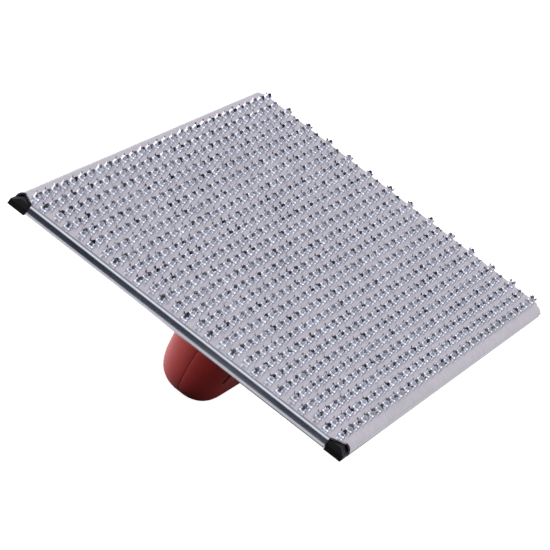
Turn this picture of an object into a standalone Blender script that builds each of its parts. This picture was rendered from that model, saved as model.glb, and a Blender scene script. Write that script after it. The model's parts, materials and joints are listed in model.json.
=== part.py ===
"""Rasp float: a crimped, toothed steel sheet on a moulded board with a two-shell bow handle.

Units are metres and +Z points out of the rasp face.  The origin is under the middle of the
tool, level with the outer face of the grip.  X runs along the short side, Y along the long one.
"""
import math

import bmesh
import bpy
from mathutils import Vector
from mathutils.geometry import delaunay_2d_cdt

# Shared clearance between pieces that touch
FIT_GAP = 0.0003

# Rasp sheet
SHEET_WIDTH = 0.130
SHEET_LENGTH = 0.280
SHEET_TOP = 0.050
SHEET_THICKNESS = 0.0006
FLANGE_DROP = 0.0042
LIP_REACH = 0.0030
LONG_BEND_RADIUS = 0.0026
LONG_LIP_RADIUS = 0.0012
SHORT_BEND_RADIUS = 0.0012
SHORT_LIP_RADIUS = 0.0018
NEAR_CORNER_CUT = 0.0070
FAR_CORNER_CUT = 0.0036
BEND_STEPS = 3

# Teeth, in staggered columns along the long side
TOOTH_COLUMNS = 27
TEETH_IN_COLUMN = 30
TOOTH_SIDE_MARGIN = 0.0054
TOOTH_END_MARGIN = 0.0046
COLUMN_SHIFT = 0.5
TOOTH_RADIUS = 0.0016
TOOTH_HEIGHT = 0.0025
TOOTH_SIDES = 3

# Backing board
RIB_DROP = 0.0040
RIB_END_SETBACK = 0.0140
RIB_THICKNESS = 0.0020
POCKET_ROOF = 0.0022
POCKET_COLUMNS = 5
POCKET_ROWS = 10
TOP_CHAMFER_SHARE = 0.85

# Handle
GRIP_HALF_WIDTH = 0.0112
GRIP_HALF_THICKNESS = 0.0110
FOOT_HALF_WIDTH = 0.0124
FOOT_HALF_THICKNESS = 0.0125
FOOT_OFFSET = 0.057
ELBOW_RADIUS = 0.022
HANDLE_WALL = 0.0026
FOOT_BLOCK_DEPTH = 0.0125
SECTION_POWER = 2.4
SECTION_STEPS = 12
LEG_STEPS = 2
ELBOW_STEPS = 9
GRIP_STEPS = 6

# Screws that hold the board to the handle's feet, with their washers and captive nuts
FOOT_SCREW_SPACING = 0.012
SCREW_RADIUS = 0.0020
SCREW_LENGTH = 0.0140
SCREW_HEAD_RADIUS = 0.0038
SCREW_HEAD_HEIGHT = 0.0022
WASHER_RADIUS = 0.0045
WASHER_THICKNESS = 0.0008
NUT_ACROSS_FLATS = 0.0070
NUT_HEIGHT = 0.0032
NUT_DEPTH = 0.0060
SOCKET_RADIUS = 0.0013
SOCKET_DEPTH = 0.0012
HEAD_RECESS = 0.0005
TIP_SHARE = 0.7
TIP_CHAMFER_SHARE = 0.5
HEAD_EDGE_SHARE = 0.55
HEAD_CROWN_SHARE = 0.75

# Screws that clamp the two handle shells together
CROSS_SCREW_RADIUS = 0.0015
CROSS_HEAD_RADIUS = 0.0030
CROSS_HEAD_HEIGHT = 0.0020
CROSS_HEAD_SINK = 0.0018
CROSS_SCREW_REACH = 0.0060
BOSS_RADIUS = 0.0044
CROSS_SCREW_ANGLE = 45

# Places worked out from the sizes above
BOARD_TOP = SHEET_TOP - SHEET_THICKNESS - FIT_GAP
RIM_BOTTOM = SHEET_TOP - FLANGE_DROP + SHEET_THICKNESS + FIT_GAP
BOARD_BOTTOM = RIM_BOTTOM - RIB_DROP
FOOT_TOP = BOARD_BOTTOM - FIT_GAP
ELBOW_HEIGHT = GRIP_HALF_THICKNESS + ELBOW_RADIUS
ELBOW_OFFSET = FOOT_OFFSET - ELBOW_RADIUS
SHELL_EDGE = FIT_GAP / 2
WASHER_SEAT = BOARD_TOP - HEAD_RECESS - SCREW_HEAD_HEIGHT - FIT_GAP - WASHER_THICKNESS - FIT_GAP
HEAD_LEVEL = WASHER_SEAT + WASHER_THICKNESS + FIT_GAP
NUT_TOP = FOOT_TOP - NUT_DEPTH
CROSS_HEAD_SEAT = GRIP_HALF_WIDTH - CROSS_HEAD_SINK - CROSS_HEAD_HEIGHT
ROUND_SIDES = 16
HEX_SIDES = 6
HEX_SHARE = math.cos(math.pi / HEX_SIDES)
CUT_MARGIN = 0.001
SMOOTH_ANGLE = 35
CDT_INSIDE = 1
CDT_EPSILON = 1e-7


def clear_scene():
    for item in list(bpy.data.objects):
        bpy.data.objects.remove(item, do_unlink=True)


def make_material(name, colour, roughness, metallic):
    material = bpy.data.materials.new(name)
    material.use_nodes = True
    shader = material.node_tree.nodes["Principled BSDF"]
    shader.inputs["Base Color"].default_value = (*colour, 1.0)
    shader.inputs["Roughness"].default_value = roughness
    shader.inputs["Metallic"].default_value = metallic
    return material


def add_object(name, bm, material=None, smooth_angle=None):
    bmesh.ops.recalc_face_normals(bm, faces=bm.faces)
    mesh = bpy.data.meshes.new(name)
    bm.to_mesh(mesh)
    bm.free()
    if material is not None:
        mesh.materials.append(material)
    if smooth_angle is not None:
        mesh.shade_smooth()
        mesh.set_sharp_from_angle(angle=math.radians(smooth_angle))
    item = bpy.data.objects.new(name, mesh)
    bpy.context.scene.collection.objects.link(item)
    return item


def add_boolean(item, tool, operation):
    modifier = item.modifiers.new(tool.name, "BOOLEAN")
    modifier.operation = operation
    modifier.solver = "EXACT"
    modifier.object = tool


def add_tool(name, bm):
    tool = add_object(name, bm)
    tool.hide_render = True
    tool.display_type = "WIRE"
    return tool


def add_box(bm, low, high):
    size = [high[i] - low[i] for i in range(3)]
    centre = [(high[i] + low[i]) / 2 for i in range(3)]
    made = bmesh.ops.create_cube(bm, size=1.0)
    for vert in made["verts"]:
        vert.co = Vector([vert.co[i] * size[i] + centre[i] for i in range(3)])


def add_circle(bm, radius, height, place, axis, sides):
    """A ring of vertices round the X or Z axis, `height` along it from `place`."""
    ring = []
    for i in range(sides):
        angle = 2 * math.pi * i / sides
        across = (radius * math.cos(angle), radius * math.sin(angle))
        if axis == "X":
            offset = (height, across[0], across[1])
        else:
            offset = (across[0], across[1], height)
        ring.append(bm.verts.new(Vector(place) + Vector(offset)))
    return ring


def bridge(bm, rings):
    for lower, upper in zip(rings, rings[1:]):
        for i in range(len(lower)):
            j = (i + 1) % len(lower)
            bm.faces.new((lower[i], lower[j], upper[j], upper[i]))


def add_rod(bm, radius, low, high, place, axis="Z", sides=ROUND_SIDES):
    rings = [add_circle(bm, radius, height, place, axis, sides) for height in (low, high)]
    bridge(bm, rings)
    bm.faces.new(rings[0][::-1])
    bm.faces.new(rings[1])


def add_ring(bm, bore, radius, thickness, sides):
    """A washer or nut: a flat ring standing on its own origin."""
    profile = [(bore, 0.0), (radius, 0.0), (radius, thickness), (bore, thickness)]
    rings = [add_circle(bm, r, h, (0.0, 0.0, 0.0), "Z", sides) for r, h in profile]
    bridge(bm, rings + rings[:1])


def tooth_places():
    """Centres of the teeth: every other column is shifted by half a pitch towards the far end."""
    span_x = SHEET_WIDTH - 2 * TOOTH_SIDE_MARGIN
    span_y = SHEET_LENGTH - 2 * TOOTH_END_MARGIN
    pitch_x = span_x / (TOOTH_COLUMNS - 1)
    pitch_y = span_y / (TEETH_IN_COLUMN - 1 + COLUMN_SHIFT)
    places = []
    for column in range(TOOTH_COLUMNS):
        shift = COLUMN_SHIFT if column % 2 == 0 else 0.0
        for row in range(TEETH_IN_COLUMN):
            places.append((-span_x / 2 + column * pitch_x, -span_y / 2 + (row + shift) * pitch_y))
    return places


def flat_outline():
    """Corners of the sheet's flat face, anticlockwise, with each corner of the sheet cut off."""
    bend_x = SHEET_WIDTH / 2 - LONG_BEND_RADIUS
    bend_y = SHEET_LENGTH / 2 - SHORT_BEND_RADIUS
    near_x = SHEET_WIDTH / 2 - NEAR_CORNER_CUT
    near_y = SHEET_LENGTH / 2 - NEAR_CORNER_CUT
    far_x = SHEET_WIDTH / 2 - FAR_CORNER_CUT
    far_y = SHEET_LENGTH / 2 - FAR_CORNER_CUT
    return [(bend_x, -near_y), (bend_x, far_y), (far_x, bend_y), (-far_x, bend_y),
            (-bend_x, far_y), (-bend_x, -near_y), (-near_x, -bend_y), (near_x, -bend_y)]


def flange_profile(radius, lip_radius):
    """Outer then inner skin of a folded edge, as (outward, down) from where the bend starts."""
    turns = [math.pi / 2 * i / BEND_STEPS for i in range(1, BEND_STEPS + 1)]
    inner_radius = radius - SHEET_THICKNESS
    lip_inner = lip_radius - SHEET_THICKNESS
    lip_centre = (radius - lip_radius, FLANGE_DROP - lip_radius)
    lip_end = radius - LIP_REACH
    outer = [(radius * math.sin(a), radius * (1 - math.cos(a))) for a in turns]
    outer += [(lip_centre[0] + lip_radius * math.cos(a), lip_centre[1] + lip_radius * math.sin(a))
              for a in [0.0] + turns]
    outer.append((lip_end, FLANGE_DROP))
    inner = [(lip_end, FLANGE_DROP - SHEET_THICKNESS)]
    inner += [(lip_centre[0] + lip_inner * math.cos(a), lip_centre[1] + lip_inner * math.sin(a))
              for a in reversed([0.0] + turns)]
    inner += [(inner_radius * math.sin(a), radius - inner_radius * math.cos(a))
              for a in reversed(turns)]
    return outer + inner


def add_flange(bm, top_pair, bottom_pair, outward, radius, lip_radius):
    profile = flange_profile(radius, lip_radius)
    ends = []
    for top, bottom in zip(top_pair, bottom_pair):
        ring = [top]
        for out, down in profile:
            spot = top.co + Vector((outward[0] * out, outward[1] * out, -down))
            ring.append(bm.verts.new(spot))
        ring.append(bottom)
        ends.append(ring)
    for i in range(len(ends[0]) - 1):
        bm.faces.new((ends[0][i], ends[0][i + 1], ends[1][i + 1], ends[1][i]))
    bm.faces.new(ends[0])
    bm.faces.new(ends[1][::-1])


def add_toothed_face(bm, outline):
    """Fill the top face around the feet of the teeth and raise a point on each foot."""
    points = [Vector(p) for p in outline]
    edges = [(i, (i + 1) % len(outline)) for i in range(len(outline))]
    centres = tooth_places()
    turn = math.pi / 2
    for x, y in centres:
        first = len(points)
        for i in range(TOOTH_SIDES):
            angle = turn + 2 * math.pi * i / TOOTH_SIDES
            points.append(Vector((x + TOOTH_RADIUS * math.cos(angle),
                                  y + TOOTH_RADIUS * math.sin(angle))))
            edges.append((first + i, first + (i + 1) % TOOTH_SIDES))
    spots, _, faces, origin, _, _ = delaunay_2d_cdt(points, edges, [], CDT_INSIDE, CDT_EPSILON)
    feet = {}
    for index, sources in enumerate(origin):
        for source in sources:
            if source >= len(outline):
                feet[index] = (source - len(outline)) // TOOTH_SIDES
    verts = [bm.verts.new((p.x, p.y, SHEET_TOP)) for p in spots]
    for face in faces:
        owners = {feet.get(i) for i in face}
        if len(owners) > 1 or None in owners:
            bm.faces.new([verts[i] for i in face])
    by_source = {s: verts[i] for i, sources in enumerate(origin) for s in sources}
    for number, (x, y) in enumerate(centres):
        base = len(outline) + number * TOOTH_SIDES
        tip = bm.verts.new((x, y, SHEET_TOP + TOOTH_HEIGHT))
        for i in range(TOOTH_SIDES):
            foot = by_source[base + i]
            following = by_source[base + (i + 1) % TOOTH_SIDES]
            bm.faces.new((foot, following, tip))
    return [by_source[i] for i in range(len(outline))]


def build_rasp_sheet(material):
    bm = bmesh.new()
    outline = flat_outline()
    top = add_toothed_face(bm, outline)
    bottom = [bm.verts.new((x, y, SHEET_TOP - SHEET_THICKNESS)) for x, y in outline]
    bm.faces.new(bottom[::-1])
    folds = [(0, (1, 0), LONG_BEND_RADIUS, LONG_LIP_RADIUS),
             (2, (0, 1), SHORT_BEND_RADIUS, SHORT_LIP_RADIUS),
             (4, (-1, 0), LONG_BEND_RADIUS, LONG_LIP_RADIUS),
             (6, (0, -1), SHORT_BEND_RADIUS, SHORT_LIP_RADIUS)]
    for start, outward, radius, lip_radius in folds:
        add_flange(bm, top[start:start + 2], bottom[start:start + 2], outward, radius, lip_radius)
    for start in (1, 3, 5, 7):
        following = (start + 1) % len(outline)
        bm.faces.new((top[start], bottom[start], bottom[following], top[following]))
    return add_object("rasp_sheet", bm, material)


def foot_screw_places():
    return [(0.0, side * FOOT_OFFSET + shift * FOOT_SCREW_SPACING / 2)
            for side in (-1, 1) for shift in (-1, 1)]


def add_stack(bm, levels):
    """A closed solid through rectangles given as (half x, half y, height), from the bottom up."""
    rings = [[bm.verts.new((sx * x, sy * y, z)) for sx, sy in ((-1, -1), (1, -1), (1, 1), (-1, 1))]
             for x, y, z in levels]
    bridge(bm, rings)
    bm.faces.new(rings[0][::-1])
    bm.faces.new(rings[-1])


def rib_field():
    """Half sizes of the thick, ribbed part of the board, inside the sheet's lips."""
    return SHEET_WIDTH / 2 - LIP_REACH - 2 * FIT_GAP, SHEET_LENGTH / 2 - RIB_END_SETBACK


def pocket_boxes():
    """Low and high corners of the pockets between the ribs, leaving a pad over each foot."""
    half_x, half_y = rib_field()
    pitch_x = (2 * half_x - RIB_THICKNESS) / POCKET_COLUMNS
    pitch_y = (2 * half_y - RIB_THICKNESS) / POCKET_ROWS
    reach_x = FOOT_HALF_WIDTH + RIB_THICKNESS
    reach_y = FOOT_HALF_THICKNESS + RIB_THICKNESS
    boxes = []
    for column in range(POCKET_COLUMNS):
        for row in range(POCKET_ROWS):
            low_x = -half_x + RIB_THICKNESS + column * pitch_x
            low_y = -half_y + RIB_THICKNESS + row * pitch_y
            high_x = low_x + pitch_x - RIB_THICKNESS
            high_y = low_y + pitch_y - RIB_THICKNESS
            near_x = low_x < reach_x and high_x > -reach_x
            near_y = any(low_y < side * FOOT_OFFSET + reach_y and high_y > side * FOOT_OFFSET - reach_y
                         for side in (-1, 1))
            if not (near_x and near_y):
                boxes.append(((low_x, low_y, BOARD_BOTTOM - CUT_MARGIN),
                              (high_x, high_y, BOARD_TOP - POCKET_ROOF)))
    return boxes


def corner_blocks(top):
    """Low and high corners of the blocks that fill the board out where the sheet is cut away."""
    bottom = SHEET_TOP - FLANGE_DROP
    blocks = []
    for side in (-1, 1):
        for end, cut in ((-1, NEAR_CORNER_CUT), (1, FAR_CORNER_CUT)):
            x = sorted((side * (SHEET_WIDTH / 2 - cut + FIT_GAP), side * (SHEET_WIDTH / 2 - FIT_GAP)))
            y = sorted((end * (SHEET_LENGTH / 2 - cut + FIT_GAP), end * (SHEET_LENGTH / 2 - FIT_GAP)))
            blocks.append(((x[0], y[0], bottom), (x[1], y[1], top)))
    return blocks


def build_backing_board(material):
    bm = bmesh.new()
    inside = SHEET_THICKNESS + FIT_GAP
    rim_x = SHEET_WIDTH / 2 - inside
    rim_y = SHEET_LENGTH / 2 - inside
    low_chamfer = max(LONG_LIP_RADIUS, SHORT_LIP_RADIUS) - inside
    top_chamfer_x = LONG_BEND_RADIUS - inside
    top_chamfer_y = low_chamfer
    chamfer_height = (BOARD_TOP - RIM_BOTTOM - low_chamfer) * TOP_CHAMFER_SHARE
    add_stack(bm, [(rim_x - low_chamfer, rim_y - low_chamfer, RIM_BOTTOM),
                   (rim_x, rim_y, RIM_BOTTOM + low_chamfer),
                   (rim_x, rim_y, BOARD_TOP - chamfer_height),
                   (rim_x - top_chamfer_x, rim_y - top_chamfer_y, BOARD_TOP)])
    board = add_object("backing_board", bm, material)

    bm = bmesh.new()
    half_x, half_y = rib_field()
    add_stack(bm, [(half_x, half_y, BOARD_BOTTOM), (half_x, half_y, RIM_BOTTOM + low_chamfer)])
    add_boolean(board, add_tool("board_step_tool", bm), "UNION")

    bm = bmesh.new()
    for low, high in corner_blocks(BOARD_TOP - chamfer_height):
        add_box(bm, low, high)
    add_boolean(board, add_tool("board_corner_tool", bm), "UNION")

    bm = bmesh.new()
    for low, high in pocket_boxes():
        add_box(bm, low, high)
    add_boolean(board, add_tool("board_pocket_tool", bm), "DIFFERENCE")

    bm = bmesh.new()
    for x, y in foot_screw_places():
        add_rod(bm, SCREW_RADIUS + FIT_GAP, BOARD_BOTTOM - CUT_MARGIN, BOARD_TOP + CUT_MARGIN,
                (x, y, 0.0))
    add_boolean(board, add_tool("board_hole_tool", bm), "DIFFERENCE")

    bm = bmesh.new()
    for x, y in foot_screw_places():
        add_rod(bm, WASHER_RADIUS + FIT_GAP, WASHER_SEAT - FIT_GAP, BOARD_TOP + CUT_MARGIN,
                (x, y, 0.0))
    add_boolean(board, add_tool("board_seat_tool", bm), "DIFFERENCE")
    return board


def handle_stations():
    """Stations along the bow: (y, z, tangent angle, share of foot size) from foot to foot."""
    stations = []
    leg_drop = FOOT_TOP - ELBOW_HEIGHT
    for step in range(LEG_STEPS + 1):
        share = 1.0 - step / LEG_STEPS
        stations.append((-FOOT_OFFSET, ELBOW_HEIGHT + leg_drop * share, -math.pi / 2, share))
    for step in range(1, ELBOW_STEPS + 1):
        angle = -math.pi / 2 + math.pi / 2 * step / ELBOW_STEPS
        stations.append((-ELBOW_OFFSET + ELBOW_RADIUS * math.sin(angle),
                         ELBOW_HEIGHT - ELBOW_RADIUS * math.cos(angle), angle, 0.0))
    for step in range(1, GRIP_STEPS // 2 + 1):
        y = -ELBOW_OFFSET * (1 - 2 * step / GRIP_STEPS)
        stations.append((y, GRIP_HALF_THICKNESS, 0.0, 0.0))
    mirrored = [(-y, z, -angle, share) for y, z, angle, share in reversed(stations[:-1])]
    return stations + mirrored


def half_section(half_width, half_thickness, edge):
    """Half of a rounded section as (across, through) points, flat where it faces out and in."""
    points = []
    for step in range(1, SECTION_STEPS):
        angle = math.pi * step / SECTION_STEPS - math.pi / 2
        across = half_width * abs(math.cos(angle)) ** (2 / SECTION_POWER)
        through = half_thickness * math.copysign(abs(math.sin(angle)) ** (2 / SECTION_POWER), angle)
        points.append((across, through))
    scale = half_thickness / points[-1][1]
    points = [(across, through * scale) for across, through in points]
    return [(edge, -half_thickness)] + points + [(edge, half_thickness)]


def section_ring(bm, station, side, inset):
    y, z, angle, share = station
    half_width = GRIP_HALF_WIDTH + (FOOT_HALF_WIDTH - GRIP_HALF_WIDTH) * share - inset
    half_thickness = GRIP_HALF_THICKNESS + (FOOT_HALF_THICKNESS - GRIP_HALF_THICKNESS) * share - inset
    normal = (math.sin(angle), -math.cos(angle))
    ring = []
    for across, through in half_section(half_width, half_thickness, SHELL_EDGE):
        ring.append(bm.verts.new((side * across, y + normal[0] * through, z + normal[1] * through)))
    return ring


def build_handle_shell(name, side, material):
    bm = bmesh.new()
    stations = handle_stations()
    hollow = [z <= FOOT_TOP - FOOT_BLOCK_DEPTH for _, z, _, _ in stations]
    outer = [section_ring(bm, station, side, 0.0) for station in stations]
    inner = [section_ring(bm, station, side, HANDLE_WALL) if open_here else None
             for station, open_here in zip(stations, hollow)]
    last = len(outer[0]) - 1
    for i in range(len(stations) - 1):
        for k in range(last):
            bm.faces.new((outer[i][k], outer[i][k + 1], outer[i + 1][k + 1], outer[i + 1][k]))
        if hollow[i] and hollow[i + 1]:
            for k in range(last):
                bm.faces.new((inner[i][k], inner[i + 1][k], inner[i + 1][k + 1], inner[i][k + 1]))
            bm.faces.new((outer[i][0], outer[i + 1][0], inner[i + 1][0], inner[i][0]))
            bm.faces.new((outer[i][last], inner[i][last], inner[i + 1][last], outer[i + 1][last]))
        elif hollow[i]:
            bm.faces.new((outer[i][0], outer[i + 1][0], outer[i + 1][last], outer[i][last],
                          inner[i][last], inner[i][0]))
            bm.faces.new(inner[i])
        elif hollow[i + 1]:
            bm.faces.new((outer[i][0], outer[i][last], outer[i + 1][last], inner[i + 1][last],
                          inner[i + 1][0], outer[i + 1][0]))
            bm.faces.new(inner[i + 1])
        else:
            bm.faces.new((outer[i][0], outer[i][last], outer[i + 1][last], outer[i + 1][0]))
    bm.faces.new(outer[0])
    bm.faces.new(outer[-1][::-1])
    return add_object(name, bm, material, smooth_angle=SMOOTH_ANGLE)


def cross_screw_places():
    """Where the shell screws cross the handle: one in each elbow and one in mid grip."""
    bend = math.radians(CROSS_SCREW_ANGLE)
    y = ELBOW_OFFSET + ELBOW_RADIUS * math.sin(bend)
    z = ELBOW_HEIGHT - ELBOW_RADIUS * math.cos(bend)
    return [(-y, z), (0.0, GRIP_HALF_THICKNESS), (y, z)]


def cut_shell(shell, side):
    """Add the bosses, then cut the nut pockets and the screw holes."""
    bm = bmesh.new()
    boss_end = GRIP_HALF_WIDTH - HANDLE_WALL + CUT_MARGIN
    for y, z in cross_screw_places():
        low, high = sorted((side * SHELL_EDGE, side * boss_end))
        add_rod(bm, BOSS_RADIUS, low, high, (0.0, y, z), "X")
    add_boolean(shell, add_tool(shell.name + "_boss_tool", bm), "UNION")

    bm = bmesh.new()
    for x, y in foot_screw_places():
        add_rod(bm, SCREW_RADIUS + FIT_GAP, HEAD_LEVEL - SCREW_LENGTH - FIT_GAP,
                FOOT_TOP + CUT_MARGIN, (x, y, 0.0))
    add_boolean(shell, add_tool(shell.name + "_hole_tool", bm), "DIFFERENCE")

    bm = bmesh.new()
    corner = NUT_ACROSS_FLATS / 2 / HEX_SHARE + FIT_GAP
    for x, y in foot_screw_places():
        add_rod(bm, corner, NUT_TOP - NUT_HEIGHT - FIT_GAP, NUT_TOP + FIT_GAP, (x, y, 0.0),
                sides=HEX_SIDES)
    add_boolean(shell, add_tool(shell.name + "_nut_tool", bm), "DIFFERENCE")

    bm = bmesh.new()
    for y, z in cross_screw_places():
        if side > 0:
            low, high = -CUT_MARGIN, GRIP_HALF_WIDTH + CUT_MARGIN
        else:
            low, high = -CROSS_SCREW_REACH - FIT_GAP, CUT_MARGIN
        add_rod(bm, CROSS_SCREW_RADIUS + FIT_GAP, low, high, (0.0, y, z), "X")
    add_boolean(shell, add_tool(shell.name + "_cross_tool", bm), "DIFFERENCE")

    if side > 0:
        bm = bmesh.new()
        for y, z in cross_screw_places():
            add_rod(bm, CROSS_HEAD_RADIUS + FIT_GAP, CROSS_HEAD_SEAT - FIT_GAP,
                    GRIP_HALF_WIDTH + CUT_MARGIN, (0.0, y, z), "X")
        add_boolean(shell, add_tool(shell.name + "_head_tool", bm), "DIFFERENCE")


def screw_profile(radius, length, head_radius, head_height):
    """Half outline of a socketed pan head screw as (radius, height), from its tip up."""
    return [(radius * TIP_SHARE, -length), (radius, -length + radius * TIP_CHAMFER_SHARE),
            (radius, 0.0), (head_radius, 0.0), (head_radius, head_height * HEAD_EDGE_SHARE),
            (head_radius * HEAD_CROWN_SHARE, head_height),
            (SOCKET_RADIUS, head_height), (SOCKET_RADIUS, head_height - SOCKET_DEPTH)]


def add_screw(bm, radius, length, head_radius, head_height, axis="Z"):
    profile = screw_profile(radius, length, head_radius, head_height)
    rings = [add_circle(bm, r, h, (0.0, 0.0, 0.0), axis, ROUND_SIDES) for r, h in profile]
    bridge(bm, rings)
    bm.faces.new(rings[0][::-1])
    bm.faces.new(rings[-1])


def add_copies(name, bm, material, places, smooth_angle=None):
    """One object for each place, numbered from 1, all sharing one mesh."""
    first = add_object(f"{name}_1", bm, material, smooth_angle)
    first.location = places[0]
    for number, place in enumerate(places[1:], start=2):
        copy = bpy.data.objects.new(f"{name}_{number}", first.data)
        copy.location = place
        bpy.context.scene.collection.objects.link(copy)


def build_fasteners(steel, zinc):
    bore = SCREW_RADIUS + FIT_GAP
    corner = NUT_ACROSS_FLATS / 2 / HEX_SHARE
    places = foot_screw_places()

    bm = bmesh.new()
    add_screw(bm, SCREW_RADIUS, SCREW_LENGTH, SCREW_HEAD_RADIUS, SCREW_HEAD_HEIGHT)
    add_copies("foot_screw", bm, zinc, [(x, y, HEAD_LEVEL) for x, y in places], SMOOTH_ANGLE)

    bm = bmesh.new()
    add_ring(bm, bore, WASHER_RADIUS, WASHER_THICKNESS, ROUND_SIDES)
    add_copies("foot_washer", bm, zinc, [(x, y, WASHER_SEAT) for x, y in places], SMOOTH_ANGLE)

    bm = bmesh.new()
    add_ring(bm, bore / HEX_SHARE, corner, NUT_HEIGHT, HEX_SIDES)
    add_copies("foot_nut", bm, zinc, [(x, y, NUT_TOP - NUT_HEIGHT) for x, y in places])

    bm = bmesh.new()
    add_screw(bm, CROSS_SCREW_RADIUS, CROSS_HEAD_SEAT + CROSS_SCREW_REACH, CROSS_HEAD_RADIUS,
              CROSS_HEAD_HEIGHT, "X")
    seats = [(CROSS_HEAD_SEAT, y, z) for y, z in cross_screw_places()]
    add_copies("shell_screw", bm, steel, seats, SMOOTH_ANGLE)


def main():
    clear_scene()
    galvanised = make_material("galvanised_sheet", (0.50, 0.49, 0.54), 0.34, 1.0)
    black_abs = make_material("black_board", (0.012, 0.011, 0.013), 0.45, 0.0)
    red_abs = make_material("red_handle", (0.23, 0.035, 0.035), 0.50, 0.0)
    zinc = make_material("zinc_fastener", (0.60, 0.60, 0.62), 0.35, 1.0)
    black_steel = make_material("black_screw", (0.05, 0.05, 0.05), 0.40, 1.0)
    build_rasp_sheet(galvanised)
    build_backing_board(black_abs)
    for name, side in (("handle_left_shell", -1), ("handle_right_shell", 1)):
        cut_shell(build_handle_shell(name, side, red_abs), side)
    build_fasteners(black_steel, zinc)


main()
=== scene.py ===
"""Looks for the rasp float: pierced crowns, folded flanges, moulded board and bow handle."""

import json
import math
import random

import bmesh
import bpy
from mathutils import Matrix, Vector
from mathutils.geometry import delaunay_2d_cdt


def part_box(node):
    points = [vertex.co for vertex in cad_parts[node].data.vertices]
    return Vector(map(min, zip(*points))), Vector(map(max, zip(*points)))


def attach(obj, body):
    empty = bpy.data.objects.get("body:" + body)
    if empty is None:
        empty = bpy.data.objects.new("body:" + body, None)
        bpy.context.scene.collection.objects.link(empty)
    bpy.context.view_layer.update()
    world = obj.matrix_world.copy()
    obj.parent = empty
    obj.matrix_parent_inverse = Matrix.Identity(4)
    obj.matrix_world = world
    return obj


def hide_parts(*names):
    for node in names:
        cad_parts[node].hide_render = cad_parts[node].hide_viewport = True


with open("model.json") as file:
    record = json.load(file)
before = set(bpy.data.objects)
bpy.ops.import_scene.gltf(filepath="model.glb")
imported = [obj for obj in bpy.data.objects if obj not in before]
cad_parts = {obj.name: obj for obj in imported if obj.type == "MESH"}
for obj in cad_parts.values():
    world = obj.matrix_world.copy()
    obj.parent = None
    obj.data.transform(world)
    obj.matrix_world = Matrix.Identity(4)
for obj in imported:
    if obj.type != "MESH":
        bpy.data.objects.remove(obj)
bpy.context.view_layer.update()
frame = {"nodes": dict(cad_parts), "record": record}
RECORD = frame["record"]
NODES = frame["nodes"]
MM = 0.001

# The sheet, read from the frame
SHEET_LOW, SHEET_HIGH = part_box("rasp_sheet")
FACE_MOUNT = next(m for m in RECORD["mounts"] if m["name"] == "rasp_face")
SHEET_TOP = FACE_MOUNT["pos_m"][2]
TOOTH_HEIGHT = SHEET_HIGH.z - SHEET_TOP
HALF_X = SHEET_HIGH.x
HALF_Y = SHEET_HIGH.y
FLANGE_DROP = SHEET_TOP - SHEET_LOW.z
SHEET_THICKNESS = 0.6 * MM
LIP_REACH = 3.0 * MM
LONG_BEND_RADIUS = 2.6 * MM
LONG_LIP_RADIUS = 1.2 * MM
SHORT_BEND_RADIUS = 1.2 * MM
SHORT_LIP_RADIUS = 1.8 * MM
NEAR_CORNER_CUT = 7.0 * MM
FAR_CORNER_CUT = 3.6 * MM
BEND_STEPS = 10
EDGE_STEPS = 40
SHARP_ANGLE = 48
LEVEL_NORMAL = 0.9999
LEVEL_SLACK = 0.01 * MM
CDT_INSIDE = 1
CDT_EPSILON = 1e-7

# The board, a finer copy of the frame's
BOARD_EDGE = 0.25 * MM
COPY_MERGE = 0.002 * MM
COPY_FLAT_ANGLE = 1
COPY_BEVEL_ANGLE = 25
COPY_BEVEL_STEPS = 2
COPY_SHARP_ANGLE = 40

# Teeth, in staggered columns along the long side
TOOTH_COLUMNS = 27
TEETH_IN_COLUMN = 30
TOOTH_SIDE_MARGIN = 5.4 * MM
TOOTH_END_MARGIN = 4.6 * MM
COLUMN_SHIFT = 0.5
COLUMN_REPEAT = 5

# Crowns: the torn wall of a tooth, with radii in metres and heights as shares of the tooth's
CROWN_STEPS = 16
CROWN_VARIANTS = 15
CROWN_FOOT = 1.60 * MM
CROWN_WALL = 1.20 * MM
CROWN_BORE = 0.92 * MM
CROWN_ENTRY = 1.25 * MM
CROWN_SKIRT = 0.18 * MM
CROWN_RAGGED = 0.05 * MM
RIM_THICKNESS = 0.13 * MM
THROAT_THICKNESS = 0.26 * MM
SKIRT_SHARE = 0.12
WALL_SHARE = 0.42
FLARE_SHARE = 0.72
RIM_SHARE = 0.985
THROAT_SHARE = 0.66
BORE_SHARE = 0.08
FLARE_OUTSIDE = 0.38
FLARE_INSIDE = 0.36
CROWN_OUTER_RINGS = 5
FIRST_NOTCH = math.radians(-135)
NOTCH_SHARES = (0.42, 0.68)
FLARE_SPREAD = (0.3, 1.0)
TIP_RAGGED = 0.06
# Near, right, far and left petal: lowest and highest tip, pointedness, furthest outward flare
PETALS = (
    (0.70, 0.92, 0.50, 0.12 * MM),
    (0.74, 0.98, 0.70, 0.35 * MM),
    (0.90, 1.00, 0.95, 0.20 * MM),
    (0.82, 1.00, 0.75, 0.45 * MM),
)
TURN_BY_SHAPE = 0.50
TURN_BY_TOOTH = 0.20
SMALLEST_TOOTH = 0.90
SHAPE_SEED = 1000
COLUMN_SEED = 7919
TOOTH_SEED = 104729
ROW_SEED = 31
# Painted shade: each crown's hole is pulled a large share towards the dark colour, where shade falls
# inside it; its outer wall is darkened by a small random share
SHADE_AND_DARKENING_LAYER = "crown_shade_and_darkening"
INSIDE_PAINTED_SHADE = (0.45, 1.0)
OUTSIDE_DARKENING = (0.0, 0.20)

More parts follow.
